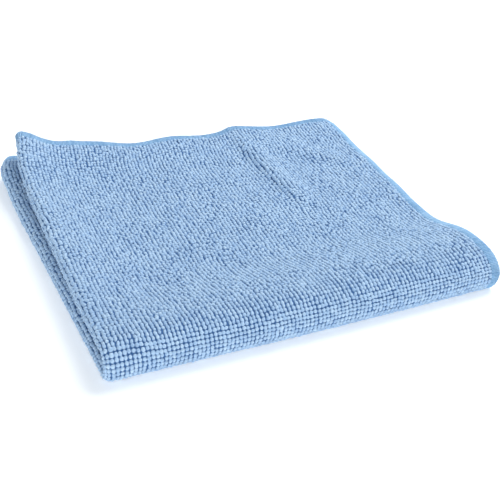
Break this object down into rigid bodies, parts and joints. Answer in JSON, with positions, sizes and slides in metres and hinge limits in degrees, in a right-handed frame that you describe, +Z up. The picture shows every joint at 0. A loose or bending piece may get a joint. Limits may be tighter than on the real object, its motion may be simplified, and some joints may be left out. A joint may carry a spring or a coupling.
{
  "type": "microfibre polishing cloth",
  "caption": "Square knitted terry microfibre cloth with an overlocked edge, folded in half twice into a flat stack with a fat round front fold.",
  "frame": {"origin": "middle of the footprint, on the surface that the folded cloth lies on", "axes": "+X to the right along the front fold, +Y back from the front fold, +Z up out of the stack"},
  "size_m": [0.2033, 0.2002, 0.0284],
  "materials": {
    "terry": "light blue split microfibre terry, matt, with small dense loops",
    "overlock_hem": "light blue overlock stitching, smoother and a little deeper in colour than the terry"
  },
  "bodies": {
    "lower_half": {"bottom_quarter": "terry", "bottom_side_hem": "overlock_hem", "bottom_back_hem": "overlock_hem", "lower_inner_quarter": "terry", "lower_inner_side_hem": "overlock_hem", "lower_inner_back_hem": "overlock_hem"},
    "upper_half": {"top_quarter": "terry", "top_side_hem": "overlock_hem", "top_back_hem": "overlock_hem", "upper_inner_quarter": "terry", "upper_inner_side_hem": "overlock_hem", "upper_inner_back_hem": "overlock_hem"}
  },
  "joints": [
    {"name": "front_fold", "type": "hinge", "parent": "lower_half", "child": "upper_half", "pos_m": [0, -0.0977, 0.009], "axis": [0.9994, 0.0345, 0], "range_deg": [0, 175]}
  ]
}
